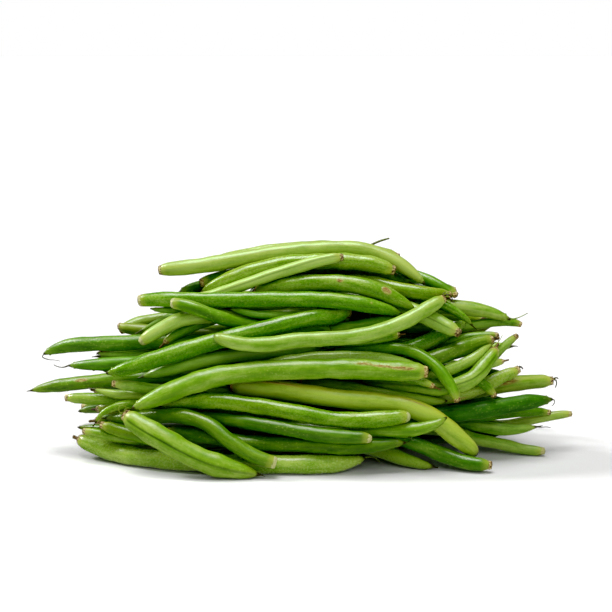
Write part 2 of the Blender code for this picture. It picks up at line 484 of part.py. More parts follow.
def settle_frame(rings):
    """Moves the heap so that it stands on the floor with its origin under the middle of it."""
    along = np.gradient(rings.at, axis=0)
    last = np.flatnonzero(np.diff(rings.owner))
    along[last] = rings.at[last] - rings.at[last - 1]
    along[last + 1] = rings.at[last + 2] - rings.at[last + 1]
    along /= np.linalg.norm(along, axis=1)[:, None]
    spread = rings.radius[:, None] * np.sqrt(np.clip(1 - along**2, 0, 1)) + CAP_DOME * abs(along) / 2
    low, high = (rings.at - spread).min(axis=0), (rings.at + spread).max(axis=0)
    rings.at -= [(low[0] + high[0]) / 2, (low[1] + high[1]) / 2, low[2]]


def skin(name):
    """A bean's own material."""
    colour = next((colour for colour, names in SKINS.items() if name in names), GREEN)
    material = bpy.data.materials.new(name + "_skin")
    material.use_nodes = True
    shader = material.node_tree.nodes["Principled BSDF"]
    shader.inputs["Base Color"].default_value = (*colour, 1)
    shader.inputs["Roughness"].default_value = SKIN_ROUGHNESS
    shader.inputs["Metallic"].default_value = 0.0
    return material


def bean_curve(name, centres, radii, sides):
    """A bean as a bevelled curve, closed at both ends by a low dome."""
    curve = bpy.data.curves.new(name, "CURVE")
    curve.dimensions = "3D"
    curve.bevel_depth = MM
    curve.bevel_resolution = (sides - 4) // 2
    curve.use_fill_caps = False
    lift = [(centres[i] - centres[j]) / np.linalg.norm(centres[i] - centres[j]) * CAP_DOME
            for i, j in ((0, 1), (-1, -2))]
    points = np.vstack([centres[0] + lift[0], centres, centres[-1] + lift[1]])
    spline = curve.splines.new("POLY")
    spline.points.add(len(points) - 1)
    for point, place, radius in zip(spline.points, points, (0, *radii, 0)):
        point.co = (*((place - centres[0]) * MM), 1)
        point.radius = radius
    made = bpy.data.objects.new(name, curve)
    made.location = centres[0] * MM
    return made


def as_mesh(made):
    """A curve object's shape as a closed mesh object in its place."""
    bpy.context.scene.collection.objects.link(made)
    bpy.context.view_layer.update()
    evaluated = made.evaluated_get(bpy.context.evaluated_depsgraph_get())
    mesh = bpy.data.meshes.new_from_object(evaluated)
    shape = bmesh.new()
    shape.from_mesh(mesh)
    bmesh.ops.remove_doubles(shape, verts=shape.verts, dist=1e-6)
    bmesh.ops.recalc_face_normals(shape, faces=shape.faces)
    shape.to_mesh(mesh)
    shape.free()
    mesh.shade_smooth()
    solid = bpy.data.objects.new(made.name + "_bean", mesh)
    solid.matrix_world = made.matrix_world
    bpy.data.objects.remove(made)
    return solid


def build_hand(name, members, heap, joined):
    """The beans of one hand, joined where their inner ends meet."""
    solids = [as_mesh(bean_curve(name, centres, radii, 6)) for centres, radii in members]
    main = solids[0]
    main.name = name
    heap.objects.link(main)
    others = bpy.data.collections.new(name + "_others")
    joined.children.link(others)
    for solid in solids[1:]:
        others.objects.link(solid)
        solid.hide_render = True
        solid.display_type = "WIRE"
    union = main.modifiers.new("join", "BOOLEAN")
    union.operation = "UNION"
    union.operand_type = "COLLECTION"
    union.collection = others
    union.solver = "EXACT"
    return main


def clear_scene():
    for made in list(bpy.data.objects):
        bpy.data.objects.remove(made, do_unlink=True)


def main():
    clear_scene()
    beans = all_beans()
    rings = Rings(beans)
    rings.at += np.random.default_rng(SEED).normal(0, 0.05, rings.at.shape)
    press_apart(rings)
    settle_frame(rings)

    heap = bpy.data.collections.new("green_bean_bundle")
    joined = bpy.data.collections.new("joined_beans")
    for collection in (heap, joined):
        bpy.context.scene.collection.children.link(collection)
    hands = {}
    for one, start, end in zip(beans, rings.first, rings.first[1:]):
        rows = slice(start, end)
        shape = rings.at[rows], rings.radius[rows]
        if one["hand"]:
            hands.setdefault(one["hand"], []).append(shape)
            continue
        made = bean_curve(one["name"], *shape, 8)
        heap.objects.link(made)
        made.data.materials.append(skin(one["name"]))
    for name, members in hands.items():
        made = build_hand(name, members, heap, joined)
        made.data.materials.append(skin(name))
    joined.hide_render = True


main()
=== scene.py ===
import json
import math

import bpy
import numpy as np
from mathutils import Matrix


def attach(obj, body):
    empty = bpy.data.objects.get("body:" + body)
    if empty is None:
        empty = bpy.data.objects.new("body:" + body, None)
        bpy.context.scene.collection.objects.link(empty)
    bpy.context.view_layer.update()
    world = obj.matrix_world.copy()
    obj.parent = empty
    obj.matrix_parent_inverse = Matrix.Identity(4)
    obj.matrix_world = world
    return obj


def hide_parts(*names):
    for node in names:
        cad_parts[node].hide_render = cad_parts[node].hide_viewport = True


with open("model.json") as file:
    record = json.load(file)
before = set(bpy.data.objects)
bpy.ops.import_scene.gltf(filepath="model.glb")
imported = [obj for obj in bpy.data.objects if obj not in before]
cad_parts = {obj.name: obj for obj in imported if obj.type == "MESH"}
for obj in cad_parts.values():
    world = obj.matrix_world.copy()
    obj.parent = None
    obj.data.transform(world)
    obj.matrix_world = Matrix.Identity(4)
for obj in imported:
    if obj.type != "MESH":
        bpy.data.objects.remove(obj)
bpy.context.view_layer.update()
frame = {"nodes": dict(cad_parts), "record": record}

# A loose heap of fresh green beans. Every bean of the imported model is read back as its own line
# of rings, and gets a fine skin: an oval pod with its two seams, seed swellings, the stalk end
# and the tail. All lengths below are in millimetres, and meshes are written in metres.
MM = 0.001
SEED = 41

# Fineness of a bean's skin: points round it, and the step along it at its middle
LEAD_MESH = (40, 1.25)
HAND_MESH = (30, 1.7)
INNER_MESH = (20, 3.2)

END_CROWDING = 0.62  # how much nearer each other its rings are at the ends

CURL_SIDES = 8
CURL_STEP = 0.35
POLE_REACH = 2.9  # an end's middle point has no edge longer than this
KNOT_THICKNESS = 0.5  # how thick a bean is where it joins others, of its last ring
SUTURE_WIDTH = 0.42
SUTURE_GROOVE = 0.14
LIP_WIDTH = 0.5
LIP_PLACE = 1.0  # from the middle of the suture
LIP_RISE = 0.35  # of the groove's depth
SEED_SPACING = 11.5
SEED_SHIFT = 1.5
SEED_LENGTH = 4.2
FIRST_SEED = (12, 18)  # from the stalk end
LAST_SEED = 14  # back from the tail

# The relief of a pod, as shares of its radius, and where it starts and how it grows from an end
GIRTH_WAVE = 0.055
SEED_RISE = 0.045
SEED_FILL = 0.55  # how much of the flanks' flatness a seed takes away
DENTS = 0.024
RIPPLES = 0.006
CUT_ROUGHNESS = 0.1
RELIEF_START = 3
RELIEF_GROWTH = 12
BODY = (4, 3)  # from this far past the cut to this far before the tip, its girth is one smooth line

HEAD_CLEARANCE = 1.5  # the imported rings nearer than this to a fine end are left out
TAIL_CLEARANCE = 0.5
THREAD_BEND = 0.04
TIP_PAST = 0.25  # a pointed or round tail closes this far past its last ring
FAR_MM = 40.0  # stands for the distance to an end that isn't there

# The stalk end: distance from the cut, and share of the pod's own radius there
STALK_ENDS = {
    "scar": ((-0.25, 0.0), (-0.2, 0.3), (0.05, 0.47), (0.8, 0.56), (1.6, 0.57), (2.5, 0.64),
             (3.6, 0.77)),
    "fresh": ((-0.15, 0.0), (-0.1, 0.45), (0.15, 0.55), (0.8, 0.6), (3.0, 0.77)),
    "stub": ((-3.6, 0.0), (-3.5, 0.2), (-1.4, 0.16), (-0.2, 0.22), (0.4, 0.45), (1.4, 0.62),
             (3.2, 0.78)),
    "blunt": ((-0.15, 0.0), (-0.1, 0.6), (0.15, 0.72), (1.2, 0.8), (3.4, 0.86)),
    "round": ((-0.5, 0.0), (-0.42, 0.2), (0.0, 0.42), (0.8, 0.58), (2.0, 0.71), (3.4, 0.8)),
}
ROUND_TAIL = ((14, 0.96), (9, 0.9), (5, 0.8), (2.8, 0.68), (1.2, 0.5), (0.3, 0.26))
TAIL_THREAD = ((1.0, 0.3), (2.2, 0.22), (3.4, 0.0))  # distance past the tip, and radius

# How single beans look. tone runs from 0, dark, to 1, light, and is partly painted light: some
# beans that lie in shade here are set lighter to make up for it, as floor_small_tip and
# lower_right_dark are. flat is how much flatter than wide the pod is. roll turns its seams from
# the top towards the front, in degrees. seam is how deep their grooves are and how dark the
# painted shade in them is. bulge is how far the seeds show. A flat or a yellow below 0 is a pod
# wider across its flanks, or of a cooler green. dry below 0 is a fresh, pale cut.
LOOKS = {
    "floor_front": dict(tone=0.78, yellow=0.05, stalk="stub", tail="point", flat=0.06, roll=60,
                        seam=0.1, bulge=0.7, gloss=0.8),
    "seam_diagonal": dict(tone=0.55, yellow=0.07, stalk="scar", tail="thread", flat=-0.14,
                          roll=78, seam=1.0, bulge=1.2, gloss=0.3),
    "cut_diagonal": dict(tone=0.56, stalk="blunt", roll=20, seam=0.1, bulge=0.3, dry=-0.8),
    "low_yellow": dict(tone=0.21, yellow=-0.06, tail="point", roll=70, seam=0.2),
    "cut_low": dict(tone=0.5, yellow=0.05, stalk="round", roll=30, seam=0.2, dry=-0.7),
    "front_lower": dict(tone=0.54, stalk="round", roll=20, seam=0.0, bulge=0.5, dry=-1),
    "low_right_tip": dict(tone=0.53, yellow=-0.05, tail="point", roll=60, seam=0.2),
    "pale_thick": dict(tone=0.93, yellow=-0.2, gold=1.0, tail="round", roll=28, seam=0.1,
                       bulge=0.3),
    "centre_long": dict(tone=0.55, stalk="scar", tail="point", roll=15, seam=0.1, bulge=0.8,
                        dry=0.1),
    "centre_upper": dict(tone=1, yellow=-0.17, roll=10, seam=0.1, bulge=0.5),
    "floor_right": dict(tone=0.55, yellow=-0.12, stalk="scar", roll=20, seam=0.0, bulge=0.6),
    # The lightest tone, partly painted light that makes up for the shade on the heap's lower right.
    "floor_small_tip": dict(tone=1, tail="point", roll=50, seam=0.0),
    "right_floor_back": dict(tone=0.79, yellow=-0.08, stalk="fresh", roll=60, seam=0.2, dry=-0.6),
    "right_dark_tip": dict(tone=0.42, yellow=-0.42, tail="point", roll=20, seam=0.0, gloss=0.3),
    "right_brown_end": dict(tone=0.36, stalk="scar", roll=20, seam=0.1),
    "right_far_end": dict(tone=0.85, yellow=0.12, stalk="fresh", roll=20, seam=0.1, dry=-0.3),
    "right_rough_tip": dict(tone=0.74, yellow=-0.22, tail="thread", roll=50, seam=0.4, bulge=1.0,
                            gloss=0.2),
    "right_scarred": dict(tone=0.68, stalk="scar", roll=40, seam=0.1, bulge=0.8),
    "left_cut_low": dict(tone=0.45, yellow=0.18, stalk="scar", roll=20, seam=0.1),
    "right_dark_end": dict(tone=0.84, yellow=0.21, stalk="scar", roll=30, seam=0.3, bulge=0.8),
    "right_pale_seam": dict(tone=0.65, yellow=-0.05, stalk="stub", flat=-0.12, roll=70, seam=0.9,
                            bulge=0.5),
    "right_broad": dict(tone=0.59, yellow=0.09, stalk="stub", flat=0.15, roll=20, seam=0.3,
                        bulge=0.9),
    "upper_cut_end": dict(tone=0.84, yellow=-0.18, stalk="scar", flat=-0.1, roll=75, seam=0.8),
    "crossing_long": dict(tone=0.68, yellow=-0.05, stalk="scar", tail="round", roll=25, seam=0.2,
                          bulge=0.4),
    "left_long": dict(tone=0.52, yellow=-0.14, tail="point", flat=0.1, roll=60, seam=0.35,
                      bulge=0.4),
    "upper_long": dict(tone=0.51, yellow=-0.17, stalk="blunt", tail="thread", roll=30, seam=0.1,
                       bulge=0.3, dry=-0.5),
    "upper_left_cut": dict(tone=0.43, stalk="blunt", roll=20, seam=0.2, dry=-0.8),
    "left_tip_high": dict(tone=0.42, tail="point", roll=60, seam=0.1),
    "left_blunt": dict(tone=0.84, yellow=-0.08, stalk="round", roll=50, seam=0.1, bulge=0.8,
                       dry=-0.7),
    "left_tip_mid": dict(tone=0.36, yellow=-0.25, tail="point", roll=60, seam=0.2),
    "left_tip_scarred": dict(tone=0.4, yellow=0.12, tail="thread", roll=50, seam=0.2, bulge=0.6),
    "left_pink_cut": dict(tone=0.73, stalk="scar", roll=40, seam=0.2),
    "right_hook": dict(tone=0.52, yellow=-0.25, stalk="scar", roll=55, seam=0.6),
    "crown": dict(tone=0.91, yellow=0.12, stalk="fresh", tail="point", roll=35, seam=0.1,
                  bulge=0.4, dry=1.0),
    "crown_thick": dict(tone=0.63, yellow=0.1, stalk="scar", tail="point", flat=0.1, roll=70,
                        seam=0.5, bulge=0.9, gloss=0.8),
    "crown_slender": dict(tone=1, yellow=-0.08, stalk="scar", flat=0.18, roll=65, seam=0.8,
                          bulge=0.4),
    "upper_right": dict(tone=0.56, stalk="scar", roll=30, seam=0.1, bulge=0.5),
    "spotted": dict(tone=0.6, yellow=0.08, tail="thread", roll=25, seam=0.1, bulge=0.5, gloss=0.7),
    "right_tail_high": dict(tone=0.77, yellow=0.07, tail="point", roll=30, seam=0.1),
    # The lightest tone, painted light: it makes up for the deep shade this bean lies in.
    "lower_right_dark": dict(tone=1, tail="point", roll=50, seam=0.1),
    "hand_left_high": dict(tone=0.64, yellow=-0.4),
    "hand_left_low": dict(tone=0.66, yellow=0.09),
    "hand_right_high": dict(tone=0.55, yellow=-0.15),
    "hand_right_low": dict(tone=0.72, yellow=-0.06),
}
TONE_SPREAD = 0.18  # how much the tones of a hand's beans differ

# Dried curls and threads: node, the end it grows from, its path from there across, in depth and
# up, its radius, and how dry and brown it is. The tail's thread is the withered flower.
CURLS = (
    ("floor_front", "tail", ((-1, 0, 0), (2.5, -0.3, 0.6), (5, -0.5, 0), (7, -0.3, -2.2)),
     0.3, 0.6),
    ("left_tip_high", "tail", ((0.5, 0, 0.4), (-0.6, -0.3, -1.2), (2, -0.4, -2.6),
                               (6, -0.4, -3), (8.5, -0.4, -3.6)), 0.34, 1.0),
    ("left_tip_mid", "tail", ((0.5, 0, 0.2), (-3, -0.2, -0.8), (-6, -0.2, -0.2),
                              (-7.5, -0.2, 0.6)), 0.34, 1.0),
    ("seam_diagonal", "stalk", ((1, -1, -0.5), (-1.6, -1.5, 0.8), (-2.3, -1.6, 3),
                                (-0.6, -1.8, 4.6), (1.2, -1.8, 3.6), (0.8, -1.9, 2.2)),
     0.4, 0.15),
    ("seam_diagonal", "stalk", ((1.6, -1, 0.4), (0.5, -2, 1.6), (2, -2.2, 3.4), (3.6, -1.8, 3)),
     0.36, 0.1),
    ("seam_diagonal", "stalk", ((0.8, -1.2, -1), (-0.8, -2.2, -0.8), (-1.4, -2.4, 0.8),
                                (0, -2.4, 1.6)), 0.36, 0.35),
    ("low_yellow", "tail", ((-1, 0, 0), (1.6, -0.4, 0.8), (2.6, -0.5, 2.4), (1.4, -0.6, 3.2),
                            (0.9, -0.6, 2)), 0.3, 0.9),
    ("right_dark_tip", "tail", ((-0.6, 0, 0.2), (1, -0.2, -0.6), (0.6, -0.4, -2.4),
                                (-0.6, -0.4, -3.6)), 0.4, 0.9),
    ("right_scarred", "stalk", ((-0.5, -0.3, 0.5), (1.2, -0.6, 0.2), (1.6, -0.7, -1.6),
                                (0.8, -0.7, -4)), 0.55, 0.9),
    ("right_scarred", "stalk", ((0, -0.3, 0.6), (1.6, -0.2, 1.4), (2.6, -0.2, 0.8)), 0.5, 0.8),
    ("right_rough_tip", "tail", ((-0.8, 0, 0), (2.4, 0, -0.2), (5, 0, -0.1), (7, 0, -0.5)),
     0.3, 0.9),
    ("right_tail_high", "tail", ((-0.8, 0, 0), (2.6, -0.1, 0.6), (5.5, -0.2, 1.8),
                                 (8.5, -0.2, 3.4)), 0.36, 0.5),
    ("crossing_long", "stalk", ((-0.6, -0.8, 0.8), (0.8, -2, 2), (2.6, -2.2, 1.4),
                                (3.4, -1.8, -0.6), (2.2, -2, -2)), 0.6, 0.9),
    ("crossing_long", "stalk", ((-1.4, -1, 0.6), (-0.8, -1.8, 2.6), (0.8, -2, 3.4)), 0.45, 0.8),
    ("crossing_long", "stalk", ((0.4, -0.8, 0), (2.2, -2.4, 0), (3.8, -2.2, -1.6),
                                (5, -2, -1.4)), 0.55, 1.0),
    ("crossing_long", "stalk", ((0, -0.4, 0), (1.4, -0.6, 3), (3.4, -0.6, 3.6),
                                (5.5, -0.4, 3)), 0.4, 0.5),
    ("right_broad", "stalk", ((-0.6, -0.2, 0.4), (0.8, -1, 1.2), (2, -1, 0.2), (2.4, -1, -1)),
     0.55, 0.95),
    ("right_dark_end", "stalk", ((-0.4, 0, 0.6), (0.8, -0.8, 0.8), (1.8, -0.8, -0.4)),
     0.55, 1.0),
    ("right_pale_seam", "stalk", ((-1.5, -0.6, 0), (-0.4, -1.2, 2), (1.6, -1.2, 4.4),
                                  (2.8, -1.2, 7)), 0.36, 0.1),
    ("right_pale_seam", "stalk", ((-1.8, -0.8, 0), (-2.2, -1.4, 1.8), (-1.4, -1.4, 3.4)),
     0.34, 0.4),
    ("crown_thick", "stalk", ((-0.5, -0.4, -0.4), (0.4, -0.8, -1.6), (0.2, -0.8, -3.2)),
     0.6, 0.9),
    ("crown_behind", "stalk", ((-20, 3, 1), (-14.7, 4, 5.6), (-9.7, 4, 8), (-4.9, 4, 9.4)),
     0.85, 0.75),
    ("floor_small_tip", "tail", ((-1.2, 0, 0.1), (0.8, 0, -0.3), (2, 0, -0.4)), 0.5, 1.0),
)

# Brown flaws: node, place across, angle from the top towards the front, length, width, strength
FLAWS = (
    ("centre_long", 47.0, 62, 5.5, 0.8, 1.0),
    ("centre_long", 38.0, 52, 5.0, 0.6, 0.8),
    ("centre_long", 29.0, 44, 5.0, 0.9, 0.55),
    ("spotted", 19.0, 62, 1.6, 0.9, 0.9),
    ("spotted", 39.5, 50, 2.2, 1.7, 0.9),
    ("crown_thick", 12.0, 68, 0.9, 0.7, 0.8),
    ("right_scarred", 99.0, 55, 7.5, 1.5, 0.7),
    ("pale_thick", -12.0, 35, 14.0, 0.8, 0.45),
    ("pale_thick", 53.0, 30, 12.0, 0.6, 0.5),
    ("left_tip_scarred", -106.0, 60, 3.5, 0.8, 0.8),
    ("right_dark_end", 75.0, 110, 5.0, 0.8, 0.5),
    ("upper_long", 33.0, 55, 0.9, 0.7, 0.4),
    ("back_slope", 10.0, -70, 8.0, 0.8, 0.7),
    ("back_long", 40.0, -60, 3.0, 1.2, 0.7),
    ("crown_behind", -20.0, -40, 5.0, 0.8, 0.6),
)


def hex_linear(code):
    """A "#RRGGBB" colour in linear light."""
    parts = np.array([int(code[i:i + 2], 16) for i in (1, 3, 5)]) / 255
    linear = np.where(parts <= 0.04045, parts / 12.92, ((parts + 0.055) / 1.055) ** 2.4)
    return (*linear.tolist(), 1.0)


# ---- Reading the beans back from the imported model

def welded(node):
    """The node's different points in millimetres, and for each the points it shares an edge
    with."""
    mesh = node.data
    points = np.empty(len(mesh.vertices) * 3)
    mesh.vertices.foreach_get("co", points)
    points = points.reshape(-1, 3) / MM
    corners = np.empty(len(mesh.loops), int)
    mesh.loops.foreach_get("vertex_index", corners)
    _, first, index = np.unique(np.round(points, 2), axis=0, return_index=True,
                                return_inverse=True)
    faces = index.reshape(-1)[corners].reshape(-1, 3)
    edges = np.vstack([faces[:, [0, 1]], faces[:, [1, 2]], faces[:, [2, 0]]])
    near = [set() for _ in first]
    for a, b in edges.tolist():
        near[a].add(b)
        near[b].add(a)
    return points[first], near


def walk(points, near, pole):
    """Steps from an end's middle point ring by ring along its bean: the rings as lists of
    points, and whether the walk came to the other end."""
    ring, seen = list(near[pole]), {pole, *near[pole]}
    sides, rings = len(ring), []
    while len(ring) == sides:
        rings.append(ring)
        ring = list({q for p in ring for q in near[p]} - seen)
        seen.update(ring)
    return rings, len(ring) == 1


def beans_of(node):
    """Every bean of a node as (centres, radii), from its stalk end to its tail where it is
    whole, or from its outer end to the knot where it joins others."""
    points, near = welded(node)
    poles = [i for i, others in enumerate(near)
             if len(others) in (6, 8)
             and max(np.linalg.norm(points[list(others)] - points[i], axis=1)) < POLE_REACH]
    found, used = [], set()
    for pole in poles:
        rings, whole = walk(points, near, pole)
        if len(rings) < 3 or pole in used:
            continue
        centres = np.array([points[ring].mean(axis=0) for ring in rings])
        radii = np.array([np.linalg.norm(points[ring] - centre, axis=1).mean()
                          for ring, centre in zip(rings, centres)])
        used.update(p for ring in rings for p in ring)
        used.update(p for p in poles if near[p] & set(rings[-1]))
        found.append((centres, radii, whole))
    if all(whole for _, _, whole in found):
        return [as_stalk_first(centres, radii) + (True,) for centres, radii, _ in found]
    left = [i for i in range(len(points)) if i not in used and i not in poles]
    knot = points[left].mean(axis=0)
    return [(np.vstack([centres, knot]), np.append(radii, KNOT_THICKNESS * radii[-1]), False)
            for centres, radii, _ in found]


def as_stalk_first(centres, radii):
    """Turns a whole bean round where its thin tail comes first."""
    return (centres, radii) if radii[0] > radii[-1] else (centres[::-1], radii[::-1])


# ---- The skin of one bean

def hermite(at, knots, values):
    """A smooth line through values at the knots, read at other places. Each stretch is the
    cubic whose end slopes are the mean of the slopes beside it, weighted to the nearer one."""
    values = values if values.ndim > 1 else values[:, None]
    step = np.diff(knots)
    slope = np.diff(values, axis=0) / step[:, None]
    inner = ((slope[:-1] * step[1:, None] + slope[1:] * step[:-1, None])
             / (step[:-1] + step[1:])[:, None])
    tangent = np.vstack([slope[:1], inner, slope[-1:]])
    k = np.clip(np.searchsorted(knots, at) - 1, 0, len(step) - 1)
    t = ((at - knots[k]) / step[k])[:, None]
    h = step[k][:, None]
    line = ((2 * t**3 - 3 * t**2 + 1) * values[k] + (t**3 - 2 * t**2 + t) * h * tangent[k]
            + (3 * t**2 - 2 * t**3) * values[k + 1] + (t**3 - t**2) * h * tangent[k + 1])
    return line if line.shape[1] > 1 else line[:, 0]


def waves(at, chance, lengths, round_angle=0.0):
    """A gentle uneven wave of height about 1: sines of the given lengths along the bean, each
    turned by a multiple of the angle round it."""
    total = 0.0
    for length in lengths:
        turn = int(chance.integers(1, 4)) * round_angle
        total = total + np.sin(2 * math.pi * at / length + turn + chance.uniform(0, 2 * math.pi))
    return total / len(lengths)


def cross_ways(middle):
    """Two unit directions square to a line at each of its points: one up as near as can be, and
    one square to both. Where the line climbs steeply, the first leans on the depth instead."""
    along = np.gradient(middle, axis=0)
    along /= np.maximum(np.linalg.norm(along, axis=1), 1e-6)[:, None]
    lean = np.array([0, 0, 1.0]) if abs(along[:, 2]).max() < 0.9 else np.array([0, -1.0, 0])
    up = lean - along * (along @ lean)[:, None]
    up /= np.maximum(np.linalg.norm(up, axis=1), 1e-6)[:, None]
    return up, np.cross(up, along)


def closed_skin(middle, up, side, radius, angle):
    """Rings of the given radii round a line, radius (cos a up + sin a side) at angle a, closed
    to a point at both ends. Returns the points and the faces, facing out."""
    count, around = radius.shape
    rings = (middle[:, None] + radius[..., None] * (np.cos(angle)[..., None] * up[:, None]
                                                    + np.sin(angle)[..., None] * side[:, None]))
    points = np.vstack([middle[:1], rings[1:-1].reshape(-1, 3), middle[-1:]])
    grid = 1 + np.arange((count - 2) * around).reshape(count - 2, around)
    after = np.roll(grid, -1, axis=1)
    quads = np.stack([grid[:-1], after[:-1], after[1:], grid[1:]], axis=-1).reshape(-1, 4)
    caps = np.vstack([np.stack([np.zeros(around, int), after[0], grid[0]], axis=1),
                      np.stack([np.full(around, len(points) - 1), grid[-1], after[-1]], axis=1)])
    facing = np.einsum("i,ij,ij->", radius[1:-1, 0], np.cross(up, side)[1:-1],
                       np.gradient(middle, axis=0)[1:-1])
    if facing < 0:
        quads, caps = quads[:, ::-1], caps[:, ::-1]
    return points, quads, caps


def on_points(field, shape):
    """A field of the rings, put on the points of a closed skin."""
    field = np.broadcast_to(field, shape)
    return np.concatenate([field[:1, 0], field[1:-1].reshape(-1), field[-1:, 0]])


def curl(start, path, radius, dry, look):
    """A dried thread: a thin tube along a smooth path, tapering to its free end, and curled a
    little flat."""
    path = start + np.array(path, float)
    run = np.concatenate([[0], np.linalg.norm(np.diff(path, axis=0), axis=1).cumsum()])
    at = np.linspace(0, run[-1], int(run[-1] / CURL_STEP) + 4)
    middle = hermite(at, run, path)
    up, side = cross_ways(middle)
    angle = np.linspace(0, 2 * math.pi, CURL_SIDES, endpoint=False)[None]
    share = (at / run[-1])[:, None]
    thick = radius * (1.15 - 0.75 * share) * (1 + 0.12 * np.sin(9 * share + 2 * angle))
    thick[[0, -1]] = 0
    points, quads, caps = closed_skin(middle, up, side, thick * (1 - 0.4 * np.sin(angle) ** 2),
                                      angle)
    fields = {
        "along_mm": at[:, None], "across_mm": thick * np.cos(angle),
        "depth_mm": thick * np.sin(angle), "stalk_mm": FAR_MM,
        "tail_mm": 3.6 - 3.2 * dry,  # the drier, the browner, as near a tail
        "seam": 0.0, "scar": 0.0, "tone": 0.5, "yellow": 0.4, "dry": dry, "lot": look["lot"],
        "gloss": 0.2}
    return points, quads, caps, {name: on_points(value, thick.shape)
                                 for name, value in fields.items()}


def place_on(run, centres, at):
    """The point this far along a line, or straight on past either of its ends."""
    if 0 <= at <= run[-1]:
        return hermite(np.array([at]), run, centres)[0]
    end, before, past = (0, 1, -at) if at < 0 else (-1, -2, at - run[-1])
    way = centres[end] - centres[before]
    return centres[end] + way / np.linalg.norm(way) * past


def lengthened(centres, radii, look, thickness):
    """The bean's line with its ends made fine: knots along it from the old stalk end, centres
    and radii, and where the old tail lies. A stub goes on past the stalk cut, and a thread goes
    on past the tail."""
    run = np.concatenate([[0], np.linalg.norm(np.diff(centres, axis=0), axis=1).cumsum()])
    length = run[-1]
    keep = np.ones(len(run), bool)
    head, tail = [], []
    if look["stalk"]:
        head = [(at, place_on(run, centres, at), share * thickness / 2)
                for at, share in STALK_ENDS[look["stalk"]]]
        keep &= run > head[-1][0] + HEAD_CLEARANCE
    if look["tail"] == "round":
        tail = [(length - back, place_on(run, centres, length - back), share * thickness / 2)
                for back, share in ROUND_TAIL]
        keep &= run < tail[0][0] - TAIL_CLEARANCE
    if look["tail"] == "thread":
        tail = [(length + past, place_on(run, centres, length + past)
                 + look["curl"] * THREAD_BEND * past**2, radius) for past, radius in TAIL_THREAD]
    else:
        tail.append((length + TIP_PAST, place_on(run, centres, length + TIP_PAST), 0.0))
    body = zip(run[keep], centres[keep], radii[keep])
    knots, line, wide = (np.array(column) for column in zip(*head, *body, *tail))
    return knots, line, wide, length


def pod(centres, radii, look, mesh_size, chance, flaws):
    """One bean's skin. Its points are a line of oval rings, where a ring's radius at angle a is
    r (1 - flat sin(a)^2), with a groove and two lips at the seams a = 0 and 180 degrees, a
    swelling on the flat sides at each seed, and slow waves."""
    around, step = mesh_size
    half = radii.max()
    knots, line, wide, length = lengthened(centres, radii, look, 2 * half)
    share = np.linspace(0, 1, int((knots[-1] - knots[0]) / step))
    share = share - END_CROWDING * np.sin(2 * math.pi * share) / (2 * math.pi)
    at = knots[0] + (knots[-1] - knots[0]) * share
    mm = at[:, None]
    middle = hermite(at, knots, line)
    up, side = cross_ways(middle)
    if side[:, 1].mean() > 0:
        side = -side

    body = (at > BODY[0]) & (at < length - BODY[1])
    radius = np.where(body, np.minimum(hermite(at, knots, wide), half),
                      np.interp(at, knots, wide))
    within = np.clip(np.minimum(mm - RELIEF_START, length - RELIEF_START - mm) / RELIEF_GROWTH,
                     0, 1)
    mean = radius[:, None] * (1 + GIRTH_WAVE * within * waves(mm, chance, (37, 23, 14)))
    mean[[0, -1]] = 0.0

    angle = np.linspace(0, 2 * math.pi, around, endpoint=False)[None]
    from_seam = angle - math.radians(look["roll"]) - look["twist"] * mm / 100
    full = np.clip(mean / half, 0, 1)
    seam_gap = np.arcsin(np.clip(np.abs(np.sin(from_seam)), 0, 1)) * mean
    seam = np.exp(-((seam_gap / SUTURE_WIDTH) ** 2)) * full
    lip = np.exp(-(((seam_gap - LIP_PLACE) / LIP_WIDTH) ** 2)) * full
    seeds = np.arange(chance.uniform(*FIRST_SEED), length - LAST_SEED, SEED_SPACING)
    seeds = seeds + chance.uniform(-SEED_SHIFT, SEED_SHIFT, len(seeds))
    swell = sum((np.exp(-(((mm - seed) / SEED_LENGTH) ** 2)) for seed in seeds),
                np.zeros_like(mm))
    flat = look["flat"] * full
    flank = np.sin(from_seam) ** 2
    depth = (1 - flat * flank
             + SEED_FILL * np.abs(flat) * flank * swell * look["bulge"]
             + SEED_RISE * look["bulge"] * within * (swell - 0.5)
             + DENTS * within * waves(mm, chance, (31, 17, 9.5), angle)
             + RIPPLES * within * waves(mm, chance, (5.3, 3.7), 2 * angle))
    rho = mean * depth - look["seam"] * SUTURE_GROOVE * (seam - LIP_RISE * lip)
    if look["stalk"] in ("scar", "stub"):
        near_cut = np.exp(-((np.maximum(mm, 0) / 1.5) ** 2))
        rho *= 1 + CUT_ROUGHNESS * near_cut * (np.sin(3 * angle + 1.3 * np.sin(2 * angle))
                                               + 0.7 * np.sin(7 * angle + 5 * mm))
    points, quads, caps = closed_skin(middle, up, side, np.clip(rho, 0, None), angle)
    gold = look["gold"] * np.exp(-(((seam_gap - 0.8) / 1.1) ** 2)) * (np.cos(from_seam) > 0)
    fields = {
        "along_mm": mm, "across_mm": mean * np.cos(angle), "depth_mm": mean * np.sin(angle),
        "stalk_mm": mm if look["stalk"] else FAR_MM,
        "tail_mm": length - mm if look["tail"] else FAR_MM,
        # seam is where the painted shade of the seams' grooves goes, and how strong it is.
        "seam": seam * look["seam"], "scar": scars(flaws, at, middle, angle, mean),
        "tone": look["tone"], "yellow": look["yellow"] + gold, "dry": look["dry"],
        "lot": look["lot"], "gloss": look["gloss"]}
    return points, quads, caps, {name: on_points(value, rho.shape)
                                 for name, value in fields.items()}


